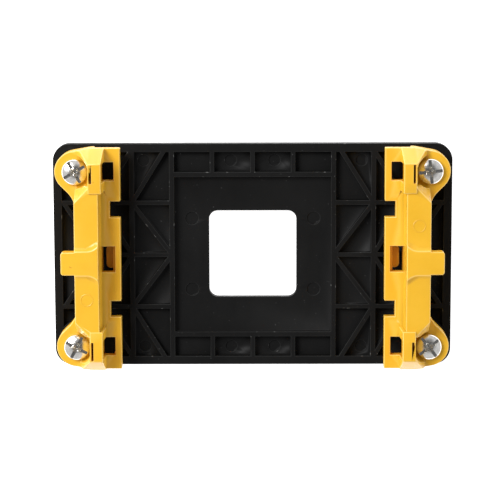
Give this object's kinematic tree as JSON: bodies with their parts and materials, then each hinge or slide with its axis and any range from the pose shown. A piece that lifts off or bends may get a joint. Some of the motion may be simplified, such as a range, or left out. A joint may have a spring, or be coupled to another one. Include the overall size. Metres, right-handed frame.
{
  "type": "cooler retention kit",
  "caption": "Processor cooler retention kit: a ribbed backplate with threaded inserts, and clip brackets held to it by screws, each bracket with a hook lug for the cooler's clip.",
  "frame": {"origin": "centre of the backplate's rear face, which is the lowest face", "axes": "+X along the backplate towards the right bracket, +Y towards the rear, +Z from the backplate towards the cooler"},
  "size_m": [0.1096, 0.0616, 0.0215],
  "materials": {
    "black_plastic": "satin moulded, near black",
    "yellow_plastic": "semi-gloss moulded, warm yellow",
    "screw_metal": "bright nickel plating",
    "insert_brass": "turned, slightly dull"
  },
  "bodies": {
    "plate": {"backplate": "black_plastic", "rear_left_insert": "insert_brass", "front_left_insert": "insert_brass", "rear_right_insert": "insert_brass", "front_right_insert": "insert_brass"},
    "left_bracket": {"left_bracket": "yellow_plastic"},
    "right_bracket": {"right_bracket": "yellow_plastic"},
    "rear_left_screw": {"rear_left_screw": "screw_metal"},
    "front_left_screw": {"front_left_screw": "screw_metal"},
    "rear_right_screw": {"rear_right_screw": "screw_metal"},
    "front_right_screw": {"front_right_screw": "screw_metal"}
  },
  "joints": [
    {"name": "left_bracket_lift", "type": "slide", "parent": "plate", "child": "left_bracket", "axis": [0, 0, 1], "range_m": [0, 0.00556]},
    {"name": "rear_left_screw_turn", "type": "hinge", "parent": "left_bracket", "child": "rear_left_screw", "pos_m": [-0.048, 0.024, 0.0135], "axis": [0, 0, 1], "range_deg": [0, 2521]},
    {"name": "front_left_screw_turn", "type": "hinge", "parent": "left_bracket", "child": "front_left_screw", "pos_m": [-0.048, -0.024, 0.0135], "axis": [0, 0, 1], "range_deg": [0, 2521]},
    {"name": "right_bracket_lift", "type": "slide", "parent": "plate", "child": "right_bracket", "axis": [0, 0, 1], "range_m": [0, 0.00556]},
    {"name": "rear_right_screw_turn", "type": "hinge", "parent": "right_bracket", "child": "rear_right_screw", "pos_m": [0.048, 0.024, 0.0135], "axis": [0, 0, 1], "range_deg": [0, 2521]},
    {"name": "front_right_screw_turn", "type": "hinge", "parent": "right_bracket", "child": "front_right_screw", "pos_m": [0.048, -0.024, 0.0135], "axis": [0, 0, 1], "range_deg": [0, 2521]}
  ],
  "couplings": [
    {"joint": "rear_left_screw_turn", "follows": "left_bracket_lift", "rad_per_m": 7915.8},
    {"joint": "front_left_screw_turn", "follows": "left_bracket_lift", "rad_per_m": 7915.8},
    {"joint": "rear_right_screw_turn", "follows": "right_bracket_lift", "rad_per_m": 7915.8},
    {"joint": "front_right_screw_turn", "follows": "right_bracket_lift", "rad_per_m": 7915.8}
  ]
}
